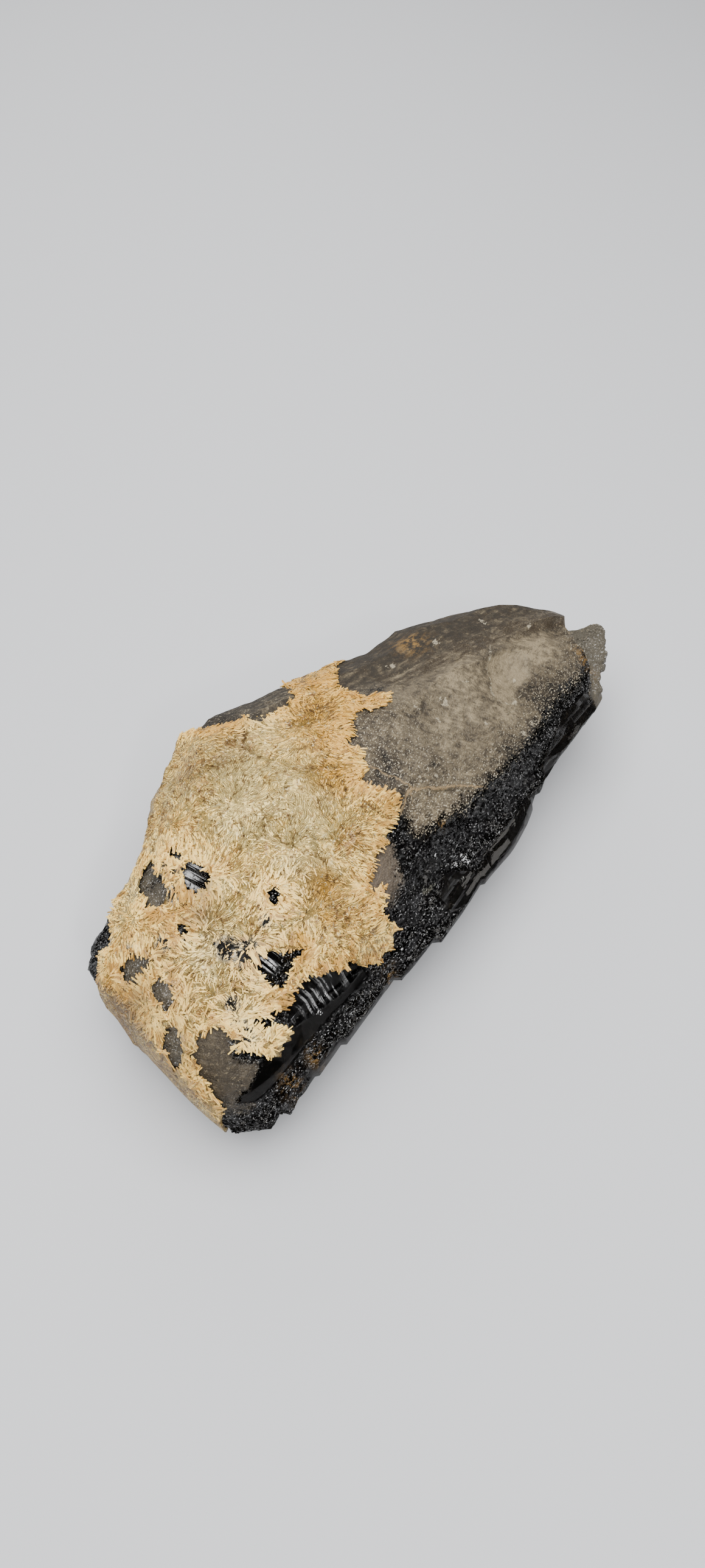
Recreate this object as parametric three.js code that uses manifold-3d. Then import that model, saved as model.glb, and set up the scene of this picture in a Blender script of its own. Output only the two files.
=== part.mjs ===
// A broken smoky quartz crystal lying on one prism face, with a crust of bladed feldspar grown over its upper side.
// Millimetres, +Z up. X runs along the prism, from the broken base to the broken tip, and Y across it to the far side.
// The origin is the middle of the underside of the whole specimen's box.

import * as THREE from "three";
import { ImprovedNoise } from "three/addons/math/ImprovedNoise.js";
import { mergeVertices } from "three/addons/utils/BufferGeometryUtils.js";
import Module from "manifold-3d";

const wasm = await Module();
wasm.setup();
const perlin = new ImprovedNoise();

// Driving dimensions of the crystal
const STATION_STEP = 4.2; // distance between two cross-sections
const BASE_SKEW = 0.22; // how far the broken base leans along X for each millimetre of Y
const SKEW_END = 70; // where that lean has died out
const BASE_UNDERCUT = 0.16; // how far the foot of the base stands back for each millimetre below its bulge
const BULGE_HEIGHT = 24;
const FRACTURE_RELIEF = 0.9; // height of the lumps on the broken upper side and tip
const LEDGE_HEIGHT = 1.3; // drop at each curved ledge of the fracture

// Driving dimensions of the crust
const CRUST_SINK = 2.2; // how deep the crust is bedded below the specimen's outer form
const CRUST_RISE = 0.9; // how far it stands above it
const CRUST_FADE = 9; // the crust thins out over this distance from its edge
const WINDOW_FADE = 7; // and over this distance from a window in it
const CRUST_LUMPS = 1.5; // height of its swells
const GAP = 0.3; // clearance between crust and crystal
const TOOTH_PITCH = 2.5; // spacing of the blade ends along the crust's growing edge
const TOOTH_DEPTH = 0.7; // how far they stand out or back

// Outer form along the crystal at each distance x from the base: near and far flank, crest and underside,
// and how far the near shoulder stands back from the near waist, where the crystal is widest.
const FORM = [
  { x: 0, near: -13.9, far: 36, top: 38, foot: 0, setback: 6.9 },
  { x: 4, near: -20.3, far: 40.6, top: 44, foot: 0, setback: 7.3 },
  { x: 10, near: -25.1, far: 40.5, top: 48, foot: 0, setback: 6.6 },
  { x: 16, near: -25.5, far: 41.5, top: 51.5, foot: 0, setback: 5.5 },
  { x: 27, near: -26.3, far: 41.4, top: 55, foot: 0, setback: 5.1 },
  { x: 37, near: -27.4, far: 43.5, top: 58.5, foot: 0, setback: 5.2 },
  { x: 50, near: -29.1, far: 49, top: 62, foot: 0, setback: 5.5 },
  { x: 57, near: -29.8, far: 50.8, top: 63, foot: 0, setback: 5.8 },
  { x: 72, near: -32.8, far: 56, top: 65, foot: 0, setback: 8.8 },
  { x: 84, near: -33.8, far: 51.8, top: 64, foot: 0, setback: 10.6 },
  { x: 96, near: -34, far: 46, top: 62, foot: 0, setback: 9.3 },
  { x: 108, near: -35.5, far: 42.5, top: 60, foot: 0, setback: 8.2 },
  { x: 120, near: -34.5, far: 37.2, top: 58, foot: 0, setback: 6.6 },
  { x: 128, near: -32.4, far: 32.2, top: 56.5, foot: 0, setback: 3.9 },
  { x: 134, near: -33.6, far: 31.6, top: 55, foot: 0, setback: 5.8 },
  { x: 143, near: -34.1, far: 31.2, top: 53, foot: 0, setback: 5.8 },
  { x: 150, near: -33.7, far: 25, top: 51.5, foot: 0, setback: 4.6 },
  { x: 157, near: -34.1, far: 22.5, top: 49.5, foot: 0, setback: 4.8 },
  { x: 165, near: -33.7, far: 18.5, top: 47, foot: 1, setback: 4.9 },
  { x: 172, near: -28.6, far: 9.5, top: 45, foot: 4, setback: 1.2 },
  { x: 177, near: -28.2, far: -2, top: 43, foot: 8, setback: 1.2 },
  { x: 181, near: -26.9, far: -11.5, top: 40, foot: 12, setback: 1.7 },
  { x: 186, near: -24.3, far: -16, top: 37, foot: 16, setback: 1.2 },
  { x: 191, near: -22.2, far: -18.5, top: 34, foot: 20, setback: 1.2 },
];

// Growth plates on the lower near face: [distance from the base, how far the plate stands out from there on].
const PLATES = [
  [0, 0], [14.5, 0], [15.5, 1.7], [26, 1], [27, 1.8], [36, 1], [37, 2], [57, 0.4], [58, 2], [71, 0.6], [72, 2.2],
  [93, 0.8], [94, 1.6], [122, 0.9], [123, 0.3], [127, 0.3], [128, 1.3], [133, 0.2], [160, 0.6], [192, 0],
];

// Towards the tip the near waist climbs by this share of the crest's height, between these distances.
const WAIST_CLIMB = 0.2;
const WAIST_CLIMB_START = 122;
const WAIST_CLIMB_END = 140;

// Prism habit: each edge's share of the way from near to far flank, its share of the crest's height, its share of
// the near shoulder's setback, of the growth plates and of the waist's climb, and the number of steps to the next
// edge. The last side is the flat face that the crystal lies on.
const HABIT = [
  { across: 0.17, up: 0.0, back: 0, plate: 0, climb: 0, steps: 3 }, // near foot
  { across: 0.0, up: 0.38, back: 0, plate: 1, climb: 1, steps: 1 }, // near waist
  { across: 0.0, up: 0.43, back: 0, plate: 1, climb: 1, steps: 1 },
  { across: 0.0, up: 0.5, back: 0.2, plate: 1, climb: 0.8, steps: 1 },
  { across: 0.0, up: 0.55, back: 0.36, plate: 0, climb: 0.65, steps: 4 },
  { across: 0.02, up: 0.79, back: 1, plate: 0, climb: 0, steps: 3 }, // near shoulder
  { across: 0.2, up: 0.91, back: 0.8, plate: 0, climb: 0, steps: 5 },
  { across: 0.5, up: 1.0, back: 0, plate: 0, climb: 0, steps: 5 }, // crest
  { across: 0.78, up: 0.94, back: 0, plate: 0, climb: 0, steps: 3 },
  { across: 0.92, up: 0.8, back: 0, plate: 0, climb: 0, steps: 4 }, // far shoulder
  { across: 1.0, up: 0.46, back: 0, plate: 0, climb: 0, steps: 4 }, // far waist
  { across: 0.8, up: 0.0, back: 0, plate: 0, climb: 0, steps: 4 }, // far foot
];
const NEAR_SHOULDER = 5;
const FAR_SHOULDER = 9;

// The tip is broken down to a lower shelf: plan of what has gone, and the shelf's height at its start and end.
const TIP_BREAK = [
  [159, -40], [160, -34.5], [162.5, -31.5], [163.5, -29], [167, -27], [169.5, -23], [169, -20], [171.5, -18],
  [172.5, -15], [176, -12.5], [180, -5], [183, 4], [198, 4], [198, -40],
];
const SHELF_START = { x: 160, z: 33 };
const SHELF_END = { x: 190, z: 28 };

// The broken ends close in rings: distance from the end, and the section's size there.
const END_RINGS = [
  { inset: 0, size: 0.32 },
  { inset: 0.2, size: 0.62 },
  { inset: 0.8, size: 0.86 },
  { inset: 2.2, size: 1 },
];

// Plan of the crust's growing edge as [x, y]: in and out of the bare strip on the far flank, then from the far
// side round the near side to the base.
const GROWING_EDGE = [
  [75, 72], [76, 46], [78, 40], [82, 34.5], [88, 30], [92, 28], [97, 30], [102, 35], [106, 46], [107, 72],
  [124, 72], [123, 46], [120, 31], [111, 27], [106, 23.5], [105, 17], [106, 13], [111, 9], [108.5, 6.5],
  [103, 9], [102.5, 12], [97, 12], [92.5, 9], [88, 7.5], [90, 4], [88, 1.5], [83, -2], [83, -5], [86, -11],
  [82.5, -13], [79, -13], [75, -15], [69.5, -14.5], [67, -16.5], [63, -17], [62, -20], [65.5, -20.5], [60, -23],
  [62, -25.5], [57.5, -27], [51, -25.5], [44, -22], [39, -18.5], [34, -16.5], [28, -17], [24, -14.5],
  [20, -12], [21, -15.5], [24.5, -18.5], [24, -20.5], [20, -21], [17, -19.5], [16.5, -16], [14, -13],
  [14.5, -10.5], [17, -8.5], [15, -6], [11.5, -4], [6.5, -3.5], [5.5, -8], [4, -11.5], [3, -15.5], [2, -19],
];
// Beyond the base and the far flank the plan runs clear of the specimen, so that the crust wraps down there.
const CLEAR_OF_BODY = [[-14, -19], [-14, 72]];
// Windows in the crust, where the crystal shows. The last one is the bare corner of the base and the far flank.
const WINDOWS = [
  [[40.8, 23.8], [43.8, 24.6], [43.4, 29], [41, 28.6]],
  [[35.5, 14.5], [40.5, 12.2], [43.5, 18], [42.5, 22], [39, 22.5], [36, 19]],
  [[27.5, 21.5], [33, 22], [35.5, 23.5], [37, 28.5], [40.2, 30.5], [38, 34], [32.5, 32], [28.5, 27]],
  [[43.3, -2.8], [46.4, -4], [48.8, -0.8], [45.2, 1]],
  [[25.5, 13], [27.5, 10.2], [30, 12], [28, 15.5]],
  [[11.5, 20], [12, 16.5], [15, 15.5], [19, 15], [19.5, 19], [17, 22.5], [14, 24]],
  [[11, 5.5], [14.5, 5], [17, 7.5], [16.5, 12.5], [14, 12.5], [12, 10]],
  [[29, -12], [31.5, -14.8], [37, -13.8], [42, -14.5], [38, -10], [34, -6.5], [30.5, -6]],
  [[3.5, -1.5], [4.2, -3.2], [8, -1.8], [9, 0], [10.5, 2], [8.5, 5], [5.5, 4]],
  [
    [5, 27], [7, 30.5], [9, 28.5], [12, 29], [14.5, 30.5], [17.5, 29], [21, 31.5], [23.5, 34.5], [27, 36],
    [28.5, 38.5], [34, 39.5], [35, 41], [42, 42.5], [44, 60], [-6, 60], [-6, 30],
  ],
];
// Lower edge of the crust on the far flank, as [x, z], and on the base, as [y, z].
const LOWER_EDGE = [
  [-14, 5], [9, 6], [17, 7.5], [26, 13], [35, 11], [41, 15], [45, 20], [54, 18.5], [60, 25], [66, 24],
  [71, 30], [78, 29], [84, 36], [92, 35], [99, 41], [107, 40], [112, 44.5], [119, 43], [124, 47], [130, 48],
];
const BASE_EDGE = [
  [-40, 13], [-17, 12], [-13, 7], [-7, 8.5], [-3, 4.5], [3, 6], [8, 4], [13, 8.5], [18, 6.5], [23, 11], [28, 9],
  [33, 14], [72, 12],
];
const ABOVE_BODY = 90;

// Curved ledges of the fracture on the bare upper side, as plan lines: the ground drops on their left.
const LEDGES = [
  [[106, 17], [113, 16], [117, 8], [123, 4], [133, -1], [147, -5], [158, -11], [168, -16]],
  [[128, -33], [119, -30], [110, -26], [103, -21], [97, -16], [92, -9], [91, -5], [88, 1]],
];
const LEDGE_REACH = 15; // the ground has come back up at this distance
// Shallow scar of a flake that sprang off near the tip: its middle and size in plan.
const FLAKE = { x: 141, y: -11, length: 9, width: 6.5, depth: 1.1 };

const smooth = (t) => {
  const c = THREE.MathUtils.clamp(t, 0, 1);
  return c * c * (3 - 2 * c);
};

// Smooth noise between about -1 and 1 at a point, for swells of the given size.
const swell = (p, size, seed = 0) => perlin.noise(p.x / size + seed, p.y / size - seed, p.z / size + 0.37);

// Distance from (x, y) to a polyline, signed: positive on its left.
function distanceToLine(x, y, line, closed = false) {
  const p = new THREE.Vector2(x, y);
  const ends = closed ? line.length : line.length - 1;
  let best = Infinity;
  let side = 1;
  for (let i = 0; i < ends; i++) {
    const a = new THREE.Vector2(...line[i]);
    const b = new THREE.Vector2(...line[(i + 1) % line.length]);
    const run = b.clone().sub(a);
    const along = THREE.MathUtils.clamp(p.clone().sub(a).dot(run) / run.lengthSq(), 0, 1);
    const gap = p.distanceTo(a.clone().addScaledVector(run, along));
    if (gap < best) {
      best = gap;
      side = Math.sign(run.cross(p.clone().sub(a))) || 1;
    }
  }
  return best * side;
}

function isInside(x, y, outline) {
  let inside = false;
  for (let i = 0, j = outline.length - 1; i < outline.length; j = i++) {
    const [ax, ay] = outline[i];
    const [bx, by] = outline[j];
    if (ay > y !== by > y && x < ((bx - ax) * (y - ay)) / (by - ay) + ax) inside = !inside;
  }
  return inside;
}

// 1 well inside the crust's plan, fading to 0 at its growing edge and its windows, and outside it.
const CRUST_PLAN = [...GROWING_EDGE, ...CLEAR_OF_BODY];
function crustCover(x, y) {
  if (!isInside(x, y, CRUST_PLAN) || WINDOWS.some((window) => isInside(x, y, window))) return 0;
  const fromEdge = Math.abs(distanceToLine(x, y, GROWING_EDGE));
  const fromWindow = Math.min(...WINDOWS.map((window) => Math.abs(distanceToLine(x, y, window, true))));
  return smooth(Math.min(fromEdge / CRUST_FADE, fromWindow / WINDOW_FADE));
}

// The outer form's measures at any distance from the base.
function formAt(x) {
  const i = Math.max(1, FORM.findIndex((row) => row.x >= x));
  const [a, b] = [FORM[i - 1], FORM[i]];
  const t = (x - a.x) / (b.x - a.x);
  return Object.fromEntries(Object.keys(a).map((key) => [key, THREE.MathUtils.lerp(a[key], b[key], t)]));
}

// How far the growth plates stand out at any distance from the base.
function plateAt(x) {
  const i = Math.max(1, PLATES.findIndex(([at]) => at >= x));
  const [[ax, a], [bx, b]] = [PLATES[i - 1], PLATES[i]];
  return THREE.MathUtils.mapLinear(x, ax, bx, a, b);
}

// Distances from the base at which there is a cross-section, with the section's size.
function stations() {
  const length = FORM.at(-1).x;
  const base = END_RINGS.map(({ inset, size }) => ({ x: inset, size }));
  const tip = END_RINGS.map(({ inset, size }) => ({ x: length - inset, size })).reverse();
  const between = [];
  const firstFull = END_RINGS.at(-1).inset;
  const marks = [firstFull, ...PLATES.map(([x]) => x), length - firstFull]
    .filter((x) => x >= firstFull && x <= length - firstFull)
    .sort((a, b) => a - b);
  for (let i = 1; i < marks.length; i++) {
    const cuts = Math.max(1, Math.round((marks[i] - marks[i - 1]) / STATION_STEP));
    for (let k = 0; k < cuts; k++) {
      const x = THREE.MathUtils.lerp(marks[i - 1], marks[i], k / cuts);
      if (x > firstFull) between.push({ x, size: 1 });
    }
  }
  return [...base, ...between, ...tip];
}

// One cross-section: its points round the crystal, each with a share of 0 to 1 for how far it is on the upper side.
function section({ x, size }) {
  const { near, far, top, foot, setback } = formAt(x);
  const plate = plateAt(x);
  const climb = WAIST_CLIMB * smooth((x - WAIST_CLIMB_START) / (WAIST_CLIMB_END - WAIST_CLIMB_START));
  const middle = new THREE.Vector2((near + far) / 2, (foot + top) / 2);
  const points = [];
  HABIT.forEach((edge, k) => {
    const next = HABIT[(k + 1) % HABIT.length];
    for (let i = 0; i < edge.steps; i++) {
      const t = i / edge.steps;
      const at = (key) => THREE.MathUtils.lerp(edge[key], next[key], t);
      const flat = new THREE.Vector2(
        THREE.MathUtils.lerp(near, far, at("across")) + setback * at("back") - plate * at("plate"),
        THREE.MathUtils.lerp(foot, top, at("up") + climb * at("climb")),
      ).lerp(middle, 1 - size);
      const undercut = BASE_UNDERCUT * Math.max(0, BULGE_HEIGHT - flat.y);
      const lean = (BASE_SKEW * (flat.x - FORM[0].near) + undercut) * Math.max(0, 1 - x / SKEW_END);
      const upper = smooth(k + t - NEAR_SHOULDER + 0.5) * smooth(FAR_SHOULDER + 1.5 - k - t);
      const resting = edge.up === 0 && next.up === 0 && foot === 0 && size === 1;
      points.push({ at: new THREE.Vector3(x + lean, flat.x, flat.y), upper, resting });
    }
  });
  points.forEach((point) => (point.resting ||= point.at.z < 1e-6));
  return points;
}

// The specimen's outer form as a closed grid of points, with an outward normal at each.
function outerForm() {
  const rings = stations().map(section);
  const around = rings[0].length;
  const points = rings.flat();
  const middleOf = (ring) => {
    const sum = ring.reduce((total, point) => total.add(point.at), new THREE.Vector3());
    return { at: sum.divideScalar(ring.length), upper: 0.5, resting: false };
  };
  points.push(middleOf(rings[0]), middleOf(rings.at(-1)));
  const [basePole, tipPole] = [points.length - 2, points.length - 1];
  const faces = [];
  for (let r = 0; r < rings.length - 1; r++) {
    for (let k = 0; k < around; k++) {
      const a = r * around + k;
      const b = r * around + ((k + 1) % around);
      faces.push(a, a + around, b, b, a + around, b + around);
    }
  }
  const last = (rings.length - 1) * around;
  for (let k = 0; k < around; k++) {
    faces.push(basePole, k, (k + 1) % around);
    faces.push(tipPole, last + ((k + 1) % around), last + k);
  }
  const geometry = new THREE.BufferGeometry().setFromPoints(points.map((point) => point.at)).setIndex(faces);
  geometry.computeVertexNormals();
  const normals = geometry.attributes.normal;
  points.forEach((point, i) => (point.normal = new THREE.Vector3().fromBufferAttribute(normals, i)));
  return { points, faces };
}

// Lumps and curved ledges of the broken, frosted upper side.
function fractureRelief(at) {
  const lumps = FRACTURE_RELIEF * (swell(at, 17, 3) + 0.5 * swell(at, 7, 8));
  const drop = LEDGES.reduce((sum, ledge) => {
    const gap = distanceToLine(at.x, at.y, ledge);
    return sum + (gap > 0 ? smooth(1 - gap / LEDGE_REACH) * smooth(gap / 1.2) : 0);
  }, 0);
  const flake = smooth(3 * (1 - Math.hypot((at.x - FLAKE.x) / FLAKE.length, (at.y - FLAKE.y) / FLAKE.width)));
  return lumps - LEDGE_HEIGHT * drop - FLAKE.depth * flake;
}

// The swells of the crust's outer surface.
const crustRelief = (at) => CRUST_LUMPS * (0.8 * swell(at, 19, 5) + 0.55 * swell(at, 8, 2) + 0.3 * swell(at, 4, 9));

const form = outerForm();

// The outer form with each point moved along its normal by offset(point).
function offsetForm(offset) {
  const moved = form.points.map((point) =>
    point.resting ? point.at : point.at.clone().addScaledVector(point.normal, offset(point)),
  );
  return new THREE.BufferGeometry().setFromPoints(moved).setIndex(form.faces);
}

// How far the crystal's own surface is from the outer form.
function crystalOffset({ at, upper }) {
  const cover = crustCover(at.x, at.y) * smooth((at.z - 4) / 6);
  return (1 - cover) * upper * fractureRelief(at) - cover * CRUST_SINK;
}

function asSolid(geometry) {
  const bare = geometry.clone();
  bare.deleteAttribute("normal");
  bare.deleteAttribute("uv");
  const merged = mergeVertices(bare, 1e-4);
  return new wasm.Manifold(
    new wasm.Mesh({
      numProp: 3,
      vertProperties: new Float32Array(merged.attributes.position.array),
      triVerts: new Uint32Array(merged.index.array),
    }),
  );
}

function asGeometry(solid) {
  const { vertProperties, triVerts } = solid.getMesh();
  return new THREE.BufferGeometry()
    .setAttribute("position", new THREE.BufferAttribute(vertProperties, 3))
    .setIndex(new THREE.BufferAttribute(triVerts, 1));
}

// The growing edge with blade ends: short steps, in turn out of the crust and back into it.
function toothedEdge() {
  const toothed = [];
  let turn = 1;
  for (let i = 1; i < GROWING_EDGE.length; i++) {
    const a = new THREE.Vector2(...GROWING_EDGE[i - 1]);
    const b = new THREE.Vector2(...GROWING_EDGE[i]);
    const run = b.clone().sub(a);
    const out = new THREE.Vector2(-run.y, run.x).normalize();
    const teeth = Math.max(1, Math.round(run.length() / TOOTH_PITCH));
    for (let k = 0; k < teeth; k++) {
      const along = a.clone().addScaledVector(run, k / teeth);
      const depth = TOOTH_DEPTH * (0.7 + 0.4 * Math.sin(1.7 * toothed.length));
      toothed.push(along.addScaledVector(out, turn * depth));
      turn = -turn;
    }
  }
  return toothed;
}

// Everything above the crust's plan, with the windows left out.
function crustPlanSolid() {
  const plan = new THREE.Shape([...toothedEdge(), ...CLEAR_OF_BODY.map((p) => new THREE.Vector2(...p))]);
  plan.holes = WINDOWS.map((window) => new THREE.Path(window.map((p) => new THREE.Vector2(...p))));
  return asSolid(new THREE.ExtrudeGeometry(plan, { depth: ABOVE_BODY, bevelEnabled: false }));
}

// Everything above an edge that is drawn on a side view, as a block that runs through the body along Y.
function aboveEdge(edge) {
  const [first, last] = [edge[0], edge.at(-1)];
  const side = new THREE.Shape(
    [...edge, [last[0], ABOVE_BODY], [first[0], ABOVE_BODY]].map((p) => new THREE.Vector2(...p)),
  );
  const block = new THREE.ExtrudeGeometry(side, { depth: 2 * ABOVE_BODY, bevelEnabled: false });
  return block.rotateX(Math.PI / 2).translate(0, ABOVE_BODY, 0);
}

// Everything above the crust's lower edge.
function aboveLowerEdge() {
  const base = aboveEdge(BASE_EDGE).rotateZ(Math.PI / 2).translate(ABOVE_BODY - 20, 0, 0);
  return asSolid(aboveEdge(LOWER_EDGE)).intersect(asSolid(base));
}

// What has broken away above the shelf at the tip.
function tipBreak() {
  const plan = new THREE.Shape(TIP_BREAK.map((p) => new THREE.Vector2(...p)));
  const block = new THREE.ExtrudeGeometry(plan, { depth: ABOVE_BODY, bevelEnabled: false });
  const position = block.attributes.position;
  for (let i = 0; i < position.count; i++) {
    if (position.getZ(i) > 0) continue;
    const shelf = THREE.MathUtils.mapLinear(
      position.getX(i),
      SHELF_START.x,
      SHELF_END.x,
      SHELF_START.z,
      SHELF_END.z,
    );
    position.setZ(i, shelf);
  }
  return asSolid(block);
}

function makeCrystal() {
  const whole = asSolid(offsetForm(crystalOffset)).subtract(tipBreak());
  const material = new THREE.MeshStandardMaterial({ color: 0x2b2724, roughness: 0.15, metalness: 0 });
  return new THREE.Mesh(asGeometry(whole), material);
}

function makeCrust() {
  const outside = asSolid(offsetForm(({ at }) => CRUST_RISE + crustCover(at.x, at.y) * crustRelief(at)));
  const inside = asSolid(offsetForm((point) => crystalOffset(point) + GAP));
  const cut = outside.subtract(inside).intersect(crustPlanSolid()).intersect(aboveLowerEdge());
  const largest = cut.decompose().sort((a, b) => b.volume() - a.volume())[0];
  const material = new THREE.MeshStandardMaterial({ color: 0xd9c39a, roughness: 0.75, metalness: 0 });
  return new THREE.Mesh(asGeometry(largest), material);
}

const crystal = makeCrystal();
crystal.name = "smoky_quartz_crystal";
const crust = makeCrust();
crust.name = "feldspar_crust";

const specimen = new THREE.Group();
specimen.add(crystal, crust);
const box = new THREE.Box3().setFromObject(specimen, true);
const middle = box.getCenter(new THREE.Vector3());
specimen.children.forEach((mesh) => mesh.geometry.translate(-middle.x, -middle.y, -box.min.z));

export default specimen;
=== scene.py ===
import bmesh
import bpy
import numpy as np
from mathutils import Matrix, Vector, noise
from mathutils.kdtree import KDTree


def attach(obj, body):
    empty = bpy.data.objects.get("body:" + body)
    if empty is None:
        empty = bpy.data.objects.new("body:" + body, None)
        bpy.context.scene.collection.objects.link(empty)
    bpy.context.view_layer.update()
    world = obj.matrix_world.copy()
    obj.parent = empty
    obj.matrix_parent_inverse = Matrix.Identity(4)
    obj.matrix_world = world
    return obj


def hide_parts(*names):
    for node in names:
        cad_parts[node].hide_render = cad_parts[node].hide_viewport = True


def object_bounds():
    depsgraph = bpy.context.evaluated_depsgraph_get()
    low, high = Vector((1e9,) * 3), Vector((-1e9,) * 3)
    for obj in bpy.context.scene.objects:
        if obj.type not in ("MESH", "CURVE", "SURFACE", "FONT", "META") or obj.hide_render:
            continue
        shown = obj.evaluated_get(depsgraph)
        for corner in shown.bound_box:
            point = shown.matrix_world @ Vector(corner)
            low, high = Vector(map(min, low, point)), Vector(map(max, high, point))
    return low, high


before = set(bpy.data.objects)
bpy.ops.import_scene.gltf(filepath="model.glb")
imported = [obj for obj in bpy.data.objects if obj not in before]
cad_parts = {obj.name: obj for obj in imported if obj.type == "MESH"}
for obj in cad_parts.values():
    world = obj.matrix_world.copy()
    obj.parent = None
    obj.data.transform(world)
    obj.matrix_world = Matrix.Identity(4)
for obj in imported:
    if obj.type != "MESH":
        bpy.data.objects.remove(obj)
cad_low, cad_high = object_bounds()

# Viewpoint: a phone held upright over the specimen, close to the near corner of its broken base.
# It looks down along the crystal, so the base comes out larger than the tip.
EYE = Vector((-0.1349, -0.0919, 0.2930))
SIGHT = Vector((0.438, 0.298, -0.848))
LENS_MM = 25
SENSOR_MM = 36

camera_data = bpy.data.cameras.new("phone_camera")
camera_data.lens = LENS_MM
camera_data.sensor_width = SENSOR_MM
camera = bpy.data.objects.new("phone_camera", camera_data)
camera.location = EYE
camera.rotation_euler = SIGHT.to_track_quat("-Z", "Y").to_euler()
bpy.context.scene.collection.objects.link(camera)
bpy.context.scene.camera = camera


# Floor and light: a pale, plain sheet under a large soft light, as in a small light tent.
# All else round it is dim, so faces that lean towards the camera reflect little and look black.
class Wire:
    """An output in a node tree. Sums that are written with it add their Math nodes."""

    def __init__(self, tree, output=None):
        self.tree = tree
        self.output = output

    def node(self, kind, settings=None, sockets=None, output=0):
        """Adds a node: its settings first, then the values or links of its sockets."""
        made = self.tree.nodes.new(kind)
        for name, value in (settings or {}).items():
            setattr(made, name, value)
        for name, value in (sockets or {}).items():
            if isinstance(value, Wire):
                self.tree.links.new(value.output, made.inputs[name])
            else:
                made.inputs[name].default_value = value
        return Wire(self.tree, made.outputs[output] if made.outputs else None)

    def maths(self, operation, *terms):
        return self.node("ShaderNodeMath", {"operation": operation}, dict(enumerate(terms or [self])))

    def __add__(self, other):
        return self.maths("ADD", self, other)

    __radd__ = __add__

    def __sub__(self, other):
        return self.maths("SUBTRACT", self, other)

    def __rsub__(self, other):
        return self.maths("SUBTRACT", other, self)

    def __mul__(self, other):
        return self.maths("MULTIPLY", self, other)

    __rmul__ = __mul__

    def rise(self, start, end):
        """0 up to start, 1 past end, and smooth between them. Either may be the larger one."""
        settings = {"interpolation_type": "SMOOTHSTEP"}
        return self.node("ShaderNodeMapRange", settings, {0: self, 1: start, 2: end})

    def also(self, output):
        """Another output of the same node."""
        return Wire(self.tree, self.output.node.outputs[output])

    def dot(self, other):
        return self.node("ShaderNodeVectorMath", {"operation": "DOT_PRODUCT"}, {0: self, 1: other}, "Value")

    def offset(self, operation, other):
        return self.node("ShaderNodeVectorMath", {"operation": operation}, {0: self, 1: other})

    def colour(self, value):
        return self.node("ShaderNodeMix", {"data_type": "RGBA"}, {0: 0.0, 6: value}, output=2)

    def tint(self, factor, colour):
        """This colour, turned into another one by factor."""
        sockets = {0: factor, 6: self, 7: colour}
        return self.node("ShaderNodeMix", {"data_type": "RGBA"}, sockets, output=2)

    def under(self, *layers):
        """This colour under layers, each given as where it lies, how strongly it covers, and its colour."""
        stone = self
        for where, strength, colour in layers:
            stone = stone.tint(where * strength, colour)
        return stone

    def scaled(self, scale):
        return self.node("ShaderNodeMapping", {}, {"Vector": self, "Scale": scale})

    def stretch(self, *sizes):
        """This place, with each axis divided by a size in millimetres. One size stands for all three."""
        return self.scaled([1000 / size for size in (sizes * 3)[:3]])

    def grain(self, detail, roughness, distortion=0):
        """Noise of 0 to 1 at this place."""
        sockets = {"Vector": self, "Scale": 1, "Detail": detail}
        sockets |= {"Roughness": roughness, "Distortion": distortion}
        return self.node("ShaderNodeTexNoise", {}, sockets)


def mask(wire, name):
    """A value that is stored on the piece's points."""
    return wire.node("ShaderNodeAttribute", {"attribute_name": name}, output="Fac")


def new_material(name):
    made = bpy.data.materials.new(name)
    made.use_nodes = True
    made.node_tree.nodes.clear()
    return made, Wire(made.node_tree)


def principled(wire, **sockets):
    """The usual shader. An underscore in a socket's name here stands for a space."""
    sockets = {name.replace("_", " "): value for name, value in sockets.items()}
    return wire.node("ShaderNodeBsdfPrincipled", {}, sockets)


def finish_material(wire, surface, volume=None):
    sockets = {"Surface": surface}
    if volume:
        sockets["Volume"] = volume
    wire.node("ShaderNodeOutputMaterial", {}, sockets)


def rgb(red, green, blue):
    """A colour as seen on a screen, from 0 to 255, as the light that it stands for."""
    return tuple((channel / 255) ** 2.2 for channel in (red, green, blue)) + (1,)


FLOOR_SIZE = 4
FLOOR_COLOUR = rgb(201, 202, 205)
FLOOR_ROUGHNESS = 0.7
TENT_COLOUR = rgb(209, 208, 206)
TENT_STRENGTH = 0.2
LIT_SPOT = Vector((0, 0, 0.03))  # every light points here, at the middle of the specimen
LIGHTS = {  # where each one is, its width and height, and its power in watts
    "roof_light": ((-0.08, -0.02, 0.80), (0.9, 0.9), 16.4),
    "far_light": ((0.45, 0.50, 0.45), (0.5, 0.4), 2),
    "small_lamp": ((-0.30, -0.42, 0.60), (0.06, 0.06), 1.0),
}

floor_mesh = bpy.data.meshes.new("floor")
corners = [(-1, -1, 0), (1, -1, 0), (1, 1, 0), (-1, 1, 0)]
floor_mesh.from_pydata([Vector(corner) * FLOOR_SIZE / 2 for corner in corners], [], [(0, 1, 2, 3)])
floor = bpy.data.objects.new("floor", floor_mesh)
bpy.context.scene.collection.objects.link(floor)
floor_material, wire = new_material("pale sheet")
finish_material(wire, principled(wire, Base_Color=FLOOR_COLOUR, Roughness=FLOOR_ROUGHNESS))
floor_mesh.materials.append(floor_material)

tent = bpy.data.worlds.new("light_tent")
tent.use_nodes = True
tent.node_tree.nodes["Background"].inputs["Color"].default_value = TENT_COLOUR
tent.node_tree.nodes["Background"].inputs["Strength"].default_value = TENT_STRENGTH
bpy.context.scene.world = tent

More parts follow.
